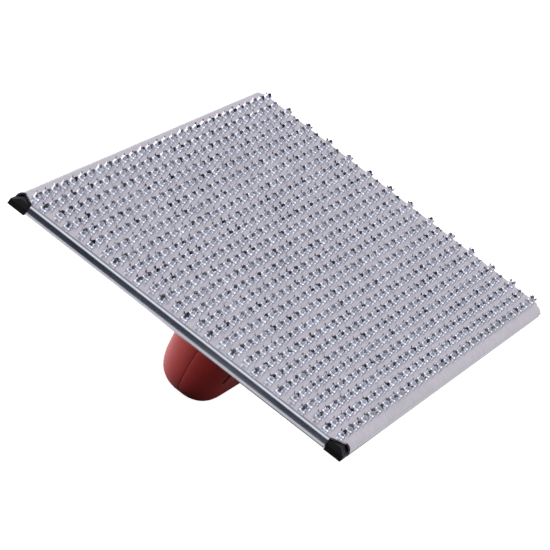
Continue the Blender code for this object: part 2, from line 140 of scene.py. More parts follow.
# Handle, on the frame's own stations
FOOT_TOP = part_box("handle_left_shell")[1].z
FOOT_OFFSET = 57 * MM
ELBOW_RADIUS = 22 * MM
GRIP_HALF_WIDTH = 11.2 * MM
GRIP_HALF_THICKNESS = 11.0 * MM
FOOT_HALF_WIDTH = 12.4 * MM
FOOT_HALF_THICKNESS = 12.5 * MM
HANDLE_WALL = 2.6 * MM
FOOT_BLOCK_DEPTH = 12.5 * MM
SECTION_POWER = 2.4
SECTION_STEPS = 26
LEG_STEPS = 6
ELBOW_STEPS = 22
GRIP_STEPS = 20
SHELL_EDGE = 0.03 * MM
PARTING_ROUND = 0.22 * MM
PARTING_TURNS = (0, 30, 60, 90)
SMALL_GAP = 0.3 * MM
CUT_MARGIN = 1.0 * MM
ROUND_SIDES = 40
HEX_SIDES = 6
BOSS_RADIUS = 4.4 * MM
SHELL_SHARP_ANGLE = 32

# Screws
CROSS_SCREW_ANGLE = 45
CROSS_SCREW_NUMBERS = (1, 2, 3)
CROSS_SCREW_SHANK = 1.5 * MM
CROSS_SCREW_HEAD_HEIGHT = 2.0 * MM
CROSS_SCREW_SHARP_ANGLE = 35
# (share of the shank's radius, height from its tip)
CROSS_SCREW_TIP = ((0.55, 0.0), (0.95, 0.9 * MM), (1.0, 1.3 * MM))
# (share of the head's radius, height above its seat)
PAN_HEAD = ((0.97, 0.0), (1.0, 0.15 * MM), (1.0, 0.9 * MM), (0.93, 1.35 * MM), (0.76, 1.72 * MM),
            (0.5, 1.93 * MM), (0.2, CROSS_SCREW_HEAD_HEIGHT))
# Bottom and mouth of the cross: height from the head's top, an arm's length and half its width
RECESS_ENDS = ((-1.3 * MM, 0.85 * MM, 0.22 * MM), (0.3 * MM, 1.7 * MM, 0.38 * MM))
FOOT_SCREW_NUMBERS = (1, 2, 3, 4)
FOOT_SCREW_RADIUS = 2.0 * MM

# Base colours: a pair is blended patch by patch, and edges rub through to the worn one
SHEET_COLOURS = ((0.77, 0.760, 0.820, 1), (0.86, 0.850, 0.910, 1))
# Painted shade inside the crowns' holes, and the random darkening of their outer walls, in one near black
SHADE_AND_DARKENING_COLOUR = (0.085, 0.075, 0.082, 1)
BOARD_COLOURS = ((0.007, 0.006, 0.007, 1), (0.013, 0.011, 0.013, 1))
BOARD_WORN = (0.040, 0.036, 0.040, 1)
HANDLE_COLOURS = ((0.33, 0.028, 0.026, 1), (0.39, 0.035, 0.031, 1))
HANDLE_WORN = (0.42, 0.13, 0.12, 1)
ZINC_COLOURS = ((0.55, 0.55, 0.57, 1), (0.68, 0.68, 0.70, 1))
DARK_SCREW_COLOURS = ((0.030, 0.030, 0.032, 1), (0.075, 0.072, 0.075, 1))
STEEL_WORN = (0.72, 0.71, 0.72, 1)

# Camera: the place looked at, how far off, which way, and the lens
CAMERA_AIM = Vector((2.1 * MM, -36.5 * MM, SHEET_TOP))
CAMERA_DISTANCE = 1.648
CAMERA_AZIMUTH = 7.33
CAMERA_ELEVATION = 16.08
CAMERA_ROLL = 35.73
CAMERA_LENS = 333.6
SENSOR_WIDTH = 36.0
CLIP_NEAR = 0.05
CLIP_FAR = 60.0

# Studio light: patches as (direction, angle where it is full, angle where it ends, strength)
ROOM_LIGHT = 0.42
ROOM_COLOUR = (0.925, 0.965, 1.03, 1)
FAR_COLOUR = (1.0, 0.945, 1.0, 1)
FAR_PANEL = ((-0.10, 0.97, 0.05), 24, 31, 0.62)
DIM_PATCHES = (
    ((-0.12, -0.95, 0.20), 12, 21, 0.90),
    ((0.0, 0.66, 0.75), 8, 19, 0.80),
    ((-0.10, 0.97, 0.05), 24, 31, 0.90),
    ((-0.87, -0.09, 0.47), 10, 24, 0.30),
)
PANELS = (
    ((0.0, -0.42, 0.91), 13, 27, 0.12),
    ((-0.86, -0.32, 0.40), 13, 29, 1.05),
    ((-0.05, -0.72, 0.69), 16, 36, 0.50),
    ((0.80, -0.20, 0.55), 14, 30, 1.3),
    ((-0.98, 0.08, -0.02), 14, 30, 1.5),
)

# Floor: what the eye sees, and what it throws back, as (place, place, strength, strength)
FLOOR_SIZE = 8.0
FLOOR_SEEN = 0.93
FLOOR_MATT = (0.8, 0.8, 0.8, 1)
FRONT_EDGE = (-0.145, -0.115)
GLOW_LEFT = (0.004, -0.030, 0.0, 2.2)
GLOW_RIGHT = (0.068, 0.078, 0.02, 0.34)
GLOW_BEHIND = (0.02, 0.08, 0.0, 0.60)
GLOW_FRONT = (-0.235, -0.205, 0.03, 0.62)
TINT_EDGE = (-0.235, -0.205)
TINTS = ((0.55, 0.78, 1.25, 1), (0.97, 0.97, 1.0, 1))


# ---------------------------------------------------------------- node helpers

class Nodes:
    """A short way to write a node tree."""

    def __init__(self, tree):
        self.tree = tree

    def add(self, kind, inputs=(), **settings):
        node = self.tree.nodes.new(kind)
        for key, value in settings.items():
            setattr(node, key, value)
        for key, value in dict(inputs).items():
            self.feed(node.inputs[key], value)
        return node

    def feed(self, socket, value):
        if isinstance(value, bpy.types.NodeSocket):
            self.tree.links.new(value, socket)
        else:
            socket.default_value = value

    def place(self, stretch=(1.0, 1.0, 1.0)):
        """Object coordinates, stretched."""
        spot = self.add("ShaderNodeTexCoord").outputs["Object"]
        return self.add("ShaderNodeMapping", {"Vector": spot, "Scale": stretch}).outputs[0]

    def noise(self, scale, detail=3.0, rough=0.55, place=None):
        spot = place or self.place()
        node = self.add("ShaderNodeTexNoise", {"Vector": spot, "Scale": scale, "Detail": detail,
                                               "Roughness": rough})
        return node.outputs["Fac"]

    def ramp(self, value, low, high, out_low=0.0, out_high=1.0):
        """An eased step from one value to another as the input goes from low to high."""
        node = self.add("ShaderNodeMapRange", {"Value": value, "From Min": low, "From Max": high,
                                               "To Min": out_low, "To Max": out_high})
        node.interpolation_type = "SMOOTHSTEP"
        return node.outputs[0]

    def math(self, operation, a, b=0.0):
        node = self.add("ShaderNodeMath", {0: a, 1: b}, operation=operation)
        return node.outputs[0]

    def blend(self, factor, a, b):
        node = self.add("ShaderNodeMix", data_type="RGBA")
        self.feed(node.inputs["Factor"], factor)
        self.feed(node.inputs["A"], a)
        self.feed(node.inputs["B"], b)
        return node.outputs["Result"]

    def bump(self, height, distance, strength=1.0, under=None):
        inputs = {"Height": height, "Distance": distance, "Strength": strength}
        if under is not None:
            inputs["Normal"] = under
        return self.add("ShaderNodeBump", inputs).outputs[0]


def new_material(name, metallic):
    """A material, its node writer and its main shader."""
    material = bpy.data.materials.new(name)
    material.use_nodes = True
    nodes = Nodes(material.node_tree)
    shader = material.node_tree.nodes["Principled BSDF"]
    shader.inputs["Metallic"].default_value = metallic
    return material, nodes, shader


def edge_wear(nodes, reach):
    """How convex the surface is here, from 0 on flats to 1 on worn edges."""
    rounded = nodes.add("ShaderNodeBevel", {"Radius": reach}, samples=6).outputs[0]
    plain = nodes.add("ShaderNodeNewGeometry").outputs["Normal"]
    same = nodes.add("ShaderNodeVectorMath", {0: rounded, 1: plain}, operation="DOT_PRODUCT")
    return nodes.ramp(same.outputs["Value"], 0.99, 0.75)


def galvanised_material():
    """Bright zinc-coated sheet: faint spangle, brushed grain, dull smears, painted shade in the torn holes
    and random darkening on the crowns' outer walls.
    """
    material, nodes, shader = new_material("galvanised_sheet", 1.0)
    spangle = nodes.add("ShaderNodeTexVoronoi", {"Vector": nodes.place(), "Scale": 420.0}).outputs["Color"]
    tone = nodes.add("ShaderNodeSeparateColor", {"Color": spangle}).outputs[0]
    smear = nodes.noise(26.0, 4.0, 0.6)
    grain = nodes.noise(900.0, 2.0, 0.6, nodes.place((1.0, 0.08, 1.0)))
    shade = nodes.math("ADD", nodes.math("MULTIPLY", tone, 0.35), nodes.math("MULTIPLY", smear, 0.65))
    colour = nodes.blend(nodes.ramp(shade, 0.2, 0.8), *SHEET_COLOURS)
    # Painted shade: the crowns' vertex layer pulls the colour towards near black inside the holes, and a
    # little on the outer walls at random
    shade_and_darkening = nodes.add("ShaderNodeAttribute", attribute_name=SHADE_AND_DARKENING_LAYER).outputs["Fac"]
    nodes.feed(shader.inputs["Base Color"], nodes.blend(shade_and_darkening, colour, SHADE_AND_DARKENING_COLOUR))
    rough = nodes.ramp(nodes.math("ADD", nodes.math("MULTIPLY", smear, 0.85),
                                  nodes.math("MULTIPLY", grain, 0.15)), 0.3, 0.7, 0.20, 0.30)
    nodes.feed(shader.inputs["Roughness"], rough)
    wavy = nodes.bump(nodes.noise(95.0, 2.0), 0.00010, 0.5)
    fine = nodes.bump(grain, 0.000008, 0.5, wavy)
    nodes.feed(shader.inputs["Normal"], fine)
    return material


def board_material():
    """Satin black moulding: fine spark grain, flow marks and slightly paler rubbed edges."""
    material, nodes, shader = new_material("black_board", 0.0)
    flow = nodes.noise(38.0, 4.0, 0.6, nodes.place((1.0, 0.4, 1.0)))
    dust = nodes.noise(420.0, 3.0, 0.7)
    worn = nodes.math("MULTIPLY", edge_wear(nodes, 0.0004), nodes.ramp(dust, 0.35, 0.65, 0.2, 0.8))
    plain = nodes.blend(nodes.ramp(flow, 0.3, 0.7), *BOARD_COLOURS)
    nodes.feed(shader.inputs["Base Color"], nodes.blend(worn, plain, BOARD_WORN))
    nodes.feed(shader.inputs["Roughness"], nodes.ramp(flow, 0.3, 0.7, 0.34, 0.46))
    shader.inputs["Specular IOR Level"].default_value = 0.14
    grain = nodes.bump(nodes.noise(2600.0, 2.0), 0.00002, 0.5)
    nodes.feed(shader.inputs["Normal"], nodes.bump(flow, 0.00008, 0.4, grain))
    return material


def handle_material():
    """Dull red moulded plastic: soft mottling, a fine grain and paler rubbed edges."""
    material, nodes, shader = new_material("red_handle", 0.0)
    mottle = nodes.noise(55.0, 5.0, 0.62)
    speck = nodes.noise(700.0, 2.0, 0.6)
    plain = nodes.blend(nodes.ramp(mottle, 0.3, 0.7), *HANDLE_COLOURS)
    worn = nodes.math("MULTIPLY", edge_wear(nodes, 0.0005), nodes.ramp(speck, 0.3, 0.7, 0.1, 0.45))
    nodes.feed(shader.inputs["Base Color"], nodes.blend(worn, plain, HANDLE_WORN))
    nodes.feed(shader.inputs["Roughness"], nodes.ramp(mottle, 0.3, 0.7, 0.48, 0.60))
    shader.inputs["Specular IOR Level"].default_value = 0.22
    grain = nodes.bump(nodes.noise(1900.0, 2.0), 0.00003, 0.5)
    nodes.feed(shader.inputs["Normal"], nodes.bump(mottle, 0.00010, 0.35, grain))
    return material


def fastener_material(name, colours):
    """Plated or blackened steel: turning marks, dull patches and rubbed edges."""
    material, nodes, shader = new_material(name, 1.0)
    patch = nodes.noise(300.0, 3.0, 0.6)
    turned = nodes.noise(2400.0, 2.0, 0.6, nodes.place((1.0, 1.0, 0.15)))
    worn = nodes.math("MULTIPLY", edge_wear(nodes, 0.0002), 0.6)
    plain = nodes.blend(nodes.ramp(patch, 0.3, 0.7), *colours)
    nodes.feed(shader.inputs["Base Color"], nodes.blend(worn, plain, STEEL_WORN))
    nodes.feed(shader.inputs["Roughness"], nodes.ramp(patch, 0.3, 0.7, 0.25, 0.42))
    nodes.feed(shader.inputs["Normal"], nodes.bump(turned, 0.00002, 0.5))
    return material


# ---------------------------------------------------------------- mesh helpers

def add_piece(name, bm, material):
    mesh = bpy.data.meshes.new(name)
    bm.to_mesh(mesh)
    bm.free()
    mesh.materials.append(material)
    item = bpy.data.objects.new(name, mesh)
    bpy.context.scene.collection.objects.link(item)
    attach(item, "root")
    return item


def bake(item):
    """Turn the modifiers of a piece into plain mesh."""
    graph = bpy.context.evaluated_depsgraph_get()
    mesh = bpy.data.meshes.new_from_object(item.evaluated_get(graph))
    item.modifiers.clear()
    item.data = mesh


def cut(item, bm, operation="DIFFERENCE"):
    """Apply a boolean with the solid in bm."""
    bmesh.ops.recalc_face_normals(bm, faces=bm.faces)
    mesh = bpy.data.meshes.new("tool")
    bm.to_mesh(mesh)
    bm.free()
    tool = bpy.data.objects.new("tool", mesh)
    bpy.context.scene.collection.objects.link(tool)
    modifier = item.modifiers.new("cut", "BOOLEAN")
    modifier.operation = operation
    modifier.solver = "EXACT"
    modifier.object = tool
    bpy.context.view_layer.update()
    bake(item)
    bpy.data.objects.remove(tool, do_unlink=True)


def bridge(bm, rings, closed=True):
    """Faces between each ring of vertices and the next."""
    for lower, upper in zip(rings, rings[1:]):
        count = len(lower)
        for i in range(count if closed else count - 1):
            j = (i + 1) % count
            bm.faces.new((lower[i], lower[j], upper[j], upper[i]))


def circle(bm, radius, height, place, axis="Z", sides=ROUND_SIDES):
    ring = []
    for i in range(sides):
        angle = 2 * math.pi * i / sides
        across = (radius * math.cos(angle), radius * math.sin(angle))
        offset = (height, *across) if axis == "X" else (*across, height)
        ring.append(bm.verts.new(Vector(place) + Vector(offset)))
    return ring


def add_lathe(bm, profile, place, axis="Z", sides=ROUND_SIDES):
    """A closed turned solid through (radius, height) pairs, from one end to the other."""
    rings = [circle(bm, r, h, place, axis, sides) for r, h in profile]
    bridge(bm, rings)
    bm.faces.new(rings[0][::-1])
    bm.faces.new(rings[-1])


# ---------------------------------------------------------------- rasp sheet

def tooth_places():
    """(x, y, column, row) of each tooth: every other column is shifted by half a pitch."""
    span_x = 2 * HALF_X - 2 * TOOTH_SIDE_MARGIN
    span_y = 2 * HALF_Y - 2 * TOOTH_END_MARGIN
    pitch_x = span_x / (TOOTH_COLUMNS - 1)
    pitch_y = span_y / (TEETH_IN_COLUMN - 1 + COLUMN_SHIFT)
    places = []
    for column in range(TOOTH_COLUMNS):
        shift = COLUMN_SHIFT if column % 2 == 0 else 0.0
        for row in range(TEETH_IN_COLUMN):
            y = -span_y / 2 + (row + shift) * pitch_y
            places.append((-span_x / 2 + column * pitch_x, y, column, row))
    return places


def crown_edge(rng):
    """(share of the height, outward flare) at each step round a crown: near, right, far, left petal."""
    tips = [rng.uniform(low, high) for low, high, _, _ in PETALS]
    notches = [rng.uniform(*NOTCH_SHARES) for _ in PETALS]
    steps = CROWN_STEPS // len(PETALS)
    edge = []
    for petal, (_, _, pointedness, flare) in enumerate(PETALS):
        spread = rng.uniform(*FLARE_SPREAD) * flare
        for step in range(steps):
            u = step / steps
            swell = math.sin(math.pi * u) ** pointedness if step else 0.0
            base = notches[petal] * (1 - u) + notches[(petal + 1) % len(PETALS)] * u
            edge.append((base + (tips[petal] - base) * swell, spread * swell))
    return edge


def crown_shape(number):
    """Rings of one torn crown as lists of (x, y, z), from its foot outside to its hole below."""
    rng = random.Random(SHAPE_SEED + number)
    stations = []
    for step, (top, flare) in enumerate(crown_edge(rng)):
        top = min(top * (1 + rng.uniform(-TIP_RAGGED, TIP_RAGGED)), 1.0) * TOOTH_HEIGHT
        angle = FIRST_NOTCH + 2 * math.pi * step / CROWN_STEPS
        wall = CROWN_WALL + rng.uniform(-CROWN_RAGGED, CROWN_RAGGED)
        outside = [(CROWN_FOOT, 0.0), (CROWN_WALL + CROWN_SKIRT, SKIRT_SHARE), (CROWN_WALL, WALL_SHARE),
                   (wall + flare * FLARE_OUTSIDE, FLARE_SHARE), (wall + flare, 1.0)]
        within = [(wall + flare - RIM_THICKNESS, RIM_SHARE),
                  (wall + flare * FLARE_INSIDE - THROAT_THICKNESS, THROAT_SHARE),
                  (CROWN_BORE, BORE_SHARE), (CROWN_ENTRY, 0.0)]
        stations.append([(radius * math.cos(angle), radius * math.sin(angle), top * share)
                         for radius, share in outside + within])
    return [list(ring) for ring in zip(*stations)]


def crown_jitter(column, row):
    """Which shape a tooth has, its turn and its size: the press repeats itself down a column."""
    rng = random.Random(COLUMN_SEED * column + row % COLUMN_REPEAT)
    shape = rng.randrange(CROWN_VARIANTS)
    own = random.Random(TOOTH_SEED * column + ROW_SEED * row)
    turn = rng.uniform(-TURN_BY_SHAPE, TURN_BY_SHAPE) + own.uniform(-TURN_BY_TOOTH, TURN_BY_TOOTH)
    return shape, turn, own.uniform(SMALLEST_TOOTH, 1.0)


def flat_outline():
    """Points round the sheet's flat face, and where each fold and corner cut starts."""
    bend_x = HALF_X - LONG_BEND_RADIUS
    bend_y = HALF_Y - SHORT_BEND_RADIUS
    near_x = HALF_X - NEAR_CORNER_CUT
    near_y = HALF_Y - NEAR_CORNER_CUT
    far_x = HALF_X - FAR_CORNER_CUT
    far_y = HALF_Y - FAR_CORNER_CUT
    corners = [(bend_x, -near_y), (bend_x, far_y), (far_x, bend_y), (-far_x, bend_y),
               (-bend_x, far_y), (-bend_x, -near_y), (-near_x, -bend_y), (near_x, -bend_y)]
    points = []
    starts = []
    for number, corner in enumerate(corners):
        following = corners[(number + 1) % len(corners)]
        steps = EDGE_STEPS if number % 2 == 0 else 1
        starts.append(len(points))
        for i in range(steps):
            share = i / steps
            points.append(tuple(a + (b - a) * share for a, b in zip(corner, following)))
    return points, starts


def flange_profile(radius, lip_radius):
    """Outer then inner skin of a folded edge, as (outward, down) from where the bend starts."""
    turns = [math.pi / 2 * i / BEND_STEPS for i in range(1, BEND_STEPS + 1)]
    inner_radius = radius - SHEET_THICKNESS
    lip_inner = lip_radius - SHEET_THICKNESS
    lip_x = radius - lip_radius
    lip_y = FLANGE_DROP - lip_radius
    lip_end = radius - LIP_REACH
    outer = [(radius * math.sin(a), radius * (1 - math.cos(a))) for a in turns]
    outer += [(lip_x + lip_radius * math.cos(a), lip_y + lip_radius * math.sin(a))
              for a in [0.0] + turns]
    outer.append((lip_end, FLANGE_DROP))
    inner = [(lip_end, FLANGE_DROP - SHEET_THICKNESS)]
    inner += [(lip_x + lip_inner * math.cos(a), lip_y + lip_inner * math.sin(a))
              for a in reversed([0.0] + turns)]
    inner += [(inner_radius * math.sin(a), radius - inner_radius * math.cos(a))
              for a in reversed(turns)]
    return outer + inner


def add_flange(bm, tops, bottoms, outward, radius, lip_radius):
    """One folded edge with its returned lip, between two runs of the flat's rim."""
    profile = flange_profile(radius, lip_radius)
    rows = []
    for top, bottom in zip(tops, bottoms):
        row = [top]
        for out, down in profile:
            row.append(bm.verts.new(top.co + Vector((outward[0] * out, outward[1] * out, -down))))
        row.append(bottom)
        rows.append(row)
    bridge(bm, rows, closed=False)
    bm.faces.new(rows[0])
    bm.faces.new(rows[-1][::-1])


def place_crowns(points, edges):
    """Add each crown's foot to the flat's points and edges. Returns (first point, rings, size)."""
    shapes = [crown_shape(number) for number in range(CROWN_VARIANTS)]
    crowns = []
    for x, y, column, row in tooth_places():
        shape, turn, size = crown_jitter(column, row)
        spin = Matrix.Rotation(turn, 2)
        first = len(points)
        rings = []
        for ring in shapes[shape]:
            rings.append([(*(spin @ Vector((px, py)) + Vector((x, y))), pz) for px, py, pz in ring])
        for i in range(CROWN_STEPS):
            points.append(Vector(rings[0][i][:2]))
            edges.append((first + i, first + (i + 1) % CROWN_STEPS))
        crowns.append((first, rings, size))
    return crowns


def faces_between(faces, origin, rim_count):
    """The flat's faces, without those that fill a single crown's foot."""
    owner = {}
    for index, sources in enumerate(origin):
        for source in sources:
            if source >= rim_count:
                owner[index] = (source - rim_count) // CROWN_STEPS
    kept = []
    for face in faces:
        owners = {owner.get(i) for i in face}
        if len(owners) > 1 or None in owners:
            kept.append(face)
    return kept


def raise_crown(bm, upper, lower, rings, size, shade_and_darkening_layer, rng):
    """One crown's wall, from its foot on the upper skin to its hole in the lower one."""
    rows = [upper]
    for ring in rings[1:-1]:
        rows.append([bm.verts.new((px, py, SHEET_TOP + pz * size)) for px, py, pz in ring])
    # Painted shade on the inner rings, where shade falls inside the hole; a small random darkening on the
    # outer wall rings
    outside = (rows[1:CROWN_OUTER_RINGS], OUTSIDE_DARKENING)
    within = (rows[CROWN_OUTER_RINGS:], INSIDE_PAINTED_SHADE)
    for part, span in (within, outside):
        shade_and_darkening = rng.uniform(*span)
        for vert in [v for ring in part for v in ring]:
            vert[shade_and_darkening_layer] = shade_and_darkening
    bridge(bm, rows + [lower])


def fold_edges(bm, tops, bottoms, starts):
    """The four folded edges, and a wall across each cut corner."""
    folds = [((1, 0), LONG_BEND_RADIUS, LONG_LIP_RADIUS), ((0, 1), SHORT_BEND_RADIUS, SHORT_LIP_RADIUS),
             ((-1, 0), LONG_BEND_RADIUS, LONG_LIP_RADIUS), ((0, -1), SHORT_BEND_RADIUS, SHORT_LIP_RADIUS)]
    for number, (outward, radius, lip_radius) in enumerate(folds):
        start = starts[2 * number]
        corner = starts[2 * number + 1]
        add_flange(bm, tops[start:corner + 1], bottoms[start:corner + 1], outward, radius, lip_radius)
        after = (corner + 1) % len(tops)
        bm.faces.new((tops[corner], bottoms[corner], bottoms[after], tops[after]))


def crease_sheet(bm):
    """Shade the sheet smooth, but crisp round each crown's foot and at its torn edges."""
    flat_level = SHEET_TOP - LEVEL_SLACK
    for face in bm.faces:
        face.smooth = True
    for edge in bm.edges:
        if len(edge.link_faces) != 2:
            continue
        flats = [abs(face.normal.z) > LEVEL_NORMAL for face in edge.link_faces]
        level = edge.verts[0].co.z > flat_level and edge.verts[1].co.z > flat_level
        if flats[0] != flats[1] and level:
            edge.smooth = False
        elif edge.calc_face_angle() > math.radians(SHARP_ANGLE):
            edge.smooth = False


def build_sheet(material):
    """The pierced sheet in one skin: its flat, its crowns with their holes, and its folded edges."""
    bm = bmesh.new()
    # Vertex layer for the painted shade inside the crowns and the random darkening of their outer walls
    shade_and_darkening_layer = bm.verts.layers.float.new(SHADE_AND_DARKENING_LAYER)
    outline, starts = flat_outline()
    points = [Vector(p) for p in outline]
    edges = [(i, (i + 1) % len(outline)) for i in range(len(outline))]
    crowns = place_crowns(points, edges)
    spots, _, faces, origin, _, _ = delaunay_2d_cdt(points, edges, [], CDT_INSIDE, CDT_EPSILON)
    flat = faces_between(faces, origin, len(outline))
    by_source = {s: i for i, sources in enumerate(origin) for s in sources}
    upper = [bm.verts.new((p.x, p.y, SHEET_TOP)) for p in spots]
    for face in flat:
        bm.faces.new([upper[i] for i in face])
    lower_level = SHEET_TOP - SHEET_THICKNESS
    lower = [bm.verts.new((p.x, p.y, lower_level)) for p in spots]
    for first, rings, _ in crowns:
        for i, (x, y, _) in enumerate(rings[-1]):
            lower[by_source[first + i]].co = (x, y, lower_level)
    for face in flat:
        bm.faces.new([lower[i] for i in reversed(face)])
    for first, rings, size in crowns:
        feet = [by_source[first + i] for i in range(CROWN_STEPS)]
        raise_crown(bm, [upper[i] for i in feet], [lower[i] for i in feet], rings, size,
                    shade_and_darkening_layer, random.Random(first))
    rim = [by_source[i] for i in range(len(outline))]
    fold_edges(bm, [upper[i] for i in rim], [lower[i] for i in rim], starts)
    bmesh.ops.recalc_face_normals(bm, faces=bm.faces)
    crease_sheet(bm)
    sheet = add_piece("rasp_sheet_detail", bm, material)
    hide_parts("rasp_sheet")


# ---------------------------------------------------------------- backing board

def rounded_copy(name, node, width, material):
    """A copy of a CAD solid with its flats made whole and its edges rounded."""
    bm = bmesh.new()
    bm.from_mesh(NODES[node].data)
    bmesh.ops.remove_doubles(bm, verts=bm.verts, dist=COPY_MERGE)
    bmesh.ops.dissolve_limit(bm, angle_limit=math.radians(COPY_FLAT_ANGLE), verts=bm.verts,
                             edges=bm.edges)
    limit = math.radians(COPY_BEVEL_ANGLE)
    sharp = [e for e in bm.edges if e.is_manifold and e.calc_face_angle() > limit]
    bmesh.ops.bevel(bm, geom=sharp, offset=width, segments=COPY_BEVEL_STEPS, profile=0.5,
                    affect="EDGES", clamp_overlap=True, harden_normals=False)
    bmesh.ops.recalc_face_normals(bm, faces=bm.faces)
    piece = add_piece(name, bm, material)
    piece.data.shade_smooth()
    piece.data.set_sharp_from_angle(angle=math.radians(COPY_SHARP_ANGLE))
    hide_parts(node)


# ---------------------------------------------------------------- handle

def handle_stations():
    """Stations along the bow: (y, z, tangent angle, share of foot size) from foot to foot."""
    elbow_height = GRIP_HALF_THICKNESS + ELBOW_RADIUS
    elbow_offset = FOOT_OFFSET - ELBOW_RADIUS
    leg = FOOT_TOP - elbow_height
    stations = []
    for step in range(LEG_STEPS + 1):
        share = 1.0 - step / LEG_STEPS
        stations.append((-FOOT_OFFSET, elbow_height + leg * share, -math.pi / 2, share))
    for step in range(1, ELBOW_STEPS + 1):
        angle = -math.pi / 2 + math.pi / 2 * step / ELBOW_STEPS
        stations.append((-elbow_offset + ELBOW_RADIUS * math.sin(angle),
                         elbow_height - ELBOW_RADIUS * math.cos(angle), angle, 0.0))
    for step in range(1, GRIP_STEPS // 2 + 1):
        stations.append((-elbow_offset * (1 - 2 * step / GRIP_STEPS), GRIP_HALF_THICKNESS, 0.0, 0.0))
    return stations + [(-y, z, -angle, share) for y, z, angle, share in reversed(stations[:-1])]


def half_section(half_width, half_thickness, rounding):
    """Half of a rounded section as (across, through) points, with its parting edges rounded in."""
    points = []
    for step in range(1, SECTION_STEPS):
        angle = math.pi * step / SECTION_STEPS - math.pi / 2
        across = half_width * abs(math.cos(angle)) ** (2 / SECTION_POWER)
        through = half_thickness * math.copysign(abs(math.sin(angle)) ** (2 / SECTION_POWER), angle)
        points.append((across, through))
    scale = half_thickness / points[-1][1]
    points = [(across, through * scale) for across, through in points]
    if rounding <= 0:
        return [(SHELL_EDGE, -half_thickness)] + points + [(SHELL_EDGE, half_thickness)]
    near = []
    for degrees in PARTING_TURNS:
        angle = math.radians(degrees)
        near.append((SHELL_EDGE + rounding * (1 - math.cos(angle)),
                     half_thickness - rounding * (1 - math.sin(angle))))
    start = [(across, -through) for across, through in near]
    return start + points + near[::-1]


def section_ring(bm, station, side, inset, rounding):
    """One shell's half section at a station, square to the bow there."""
    y, z, angle, share = station
    half_width = GRIP_HALF_WIDTH + (FOOT_HALF_WIDTH - GRIP_HALF_WIDTH) * share - inset
    half_thickness = GRIP_HALF_THICKNESS + (FOOT_HALF_THICKNESS - GRIP_HALF_THICKNESS) * share - inset
    normal = (math.sin(angle), -math.cos(angle))
    return [bm.verts.new((side * across, y + normal[0] * through, z + normal[1] * through))
            for across, through in half_section(half_width, half_thickness, rounding)]


def build_shell(name, node, side, material):
    """One hollow half of the bow handle, solid in its feet."""
    bm = bmesh.new()
    stations = handle_stations()
    outer = [section_ring(bm, station, side, 0.0, PARTING_ROUND) for station in stations]
    bridge(bm, outer)
    bm.faces.new(outer[0])
    bm.faces.new(outer[-1][::-1])
    bmesh.ops.recalc_face_normals(bm, faces=bm.faces)
    shell = add_piece(name, bm, material)
    bm = bmesh.new()
    inner = [section_ring(bm, station, side, HANDLE_WALL, 0.0)
             for station in stations if station[1] <= FOOT_TOP - FOOT_BLOCK_DEPTH]
    for ring in inner:
        ring[0].co.x = -side * CUT_MARGIN
        ring[-1].co.x = -side * CUT_MARGIN
    bridge(bm, inner)
    bm.faces.new(inner[0])
    bm.faces.new(inner[-1][::-1])
    cut(shell, bm)
    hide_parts(node)
    return shell


def cross_screw_places():
    """(y, z) of the three screws that clamp the shells: one at each bend and one mid-grip."""
    bend = math.radians(CROSS_SCREW_ANGLE)
    y = FOOT_OFFSET - ELBOW_RADIUS + ELBOW_RADIUS * math.sin(bend)
    z = GRIP_HALF_THICKNESS + ELBOW_RADIUS - ELBOW_RADIUS * math.cos(bend)
    return [(-y, z), (0.0, GRIP_HALF_THICKNESS), (y, z)]


def add_bosses(shell, side):
    """Round the shells' screws, pillars that meet those of the other half."""
    bm = bmesh.new()
    low, high = sorted((side * SHELL_EDGE, side * (GRIP_HALF_WIDTH - HANDLE_WALL + CUT_MARGIN)))
    for y, z in cross_screw_places():
        add_lathe(bm, [(BOSS_RADIUS, low), (BOSS_RADIUS, high)], (0.0, y, z), "X")
    cut(shell, bm, "UNION")


def cut_cross_screw_holes(shell, side):
    """A through hole and a flared head seat in the right half, a blind hole in the left."""
    low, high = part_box("shell_screw_2")
    bore = CROSS_SCREW_SHANK + SMALL_GAP
    head = (high.y - low.y) / 2 + SMALL_GAP
    seat = high.x - CROSS_SCREW_HEAD_HEIGHT - SMALL_GAP
    if side > 0:
        profile = [(bore, -CUT_MARGIN), (bore, seat), (head, seat), (head, GRIP_HALF_WIDTH - SMALL_GAP),
                   (head + SMALL_GAP + CUT_MARGIN, GRIP_HALF_WIDTH + CUT_MARGIN)]
    else:
        profile = [(bore, low.x - SMALL_GAP), (bore, CUT_MARGIN)]
    bm = bmesh.new()
    for y, z in cross_screw_places():
        add_lathe(bm, profile, (0.0, y, z), "X")
    cut(shell, bm)


def foot_axis(low, high):
    """The upright axis through the middle of a box."""
    return ((low.x + high.x) / 2, (low.y + high.y) / 2, 0.0)


def cut_foot_holes(shell):
    """The feet's screw holes and the pockets that keep their nuts from turning."""
    bm = bmesh.new()
    for number in FOOT_SCREW_NUMBERS:
        low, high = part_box(f"foot_screw_{number}")
        bore = FOOT_SCREW_RADIUS + SMALL_GAP
        add_lathe(bm, [(bore, low.z - SMALL_GAP), (bore, high.z)], foot_axis(low, high))
    cut(shell, bm)
    bm = bmesh.new()
    for number in FOOT_SCREW_NUMBERS:
        low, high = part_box(f"foot_nut_{number}")
        corner = (high.x - low.x) / 2 + SMALL_GAP
        profile = [(corner, low.z - SMALL_GAP), (corner, high.z + SMALL_GAP)]
        add_lathe(bm, profile, foot_axis(low, high), "Z", HEX_SIDES)
    cut(shell, bm)


def finish_shell(shell, side):
    """Bosses, screw holes and nut pockets, as far as the frame's own fasteners reach."""
    add_bosses(shell, side)
    cut_cross_screw_holes(shell, side)
    cut_foot_holes(shell)
    shell.data.shade_smooth()
    shell.data.set_sharp_from_angle(angle=math.radians(SHELL_SHARP_ANGLE))


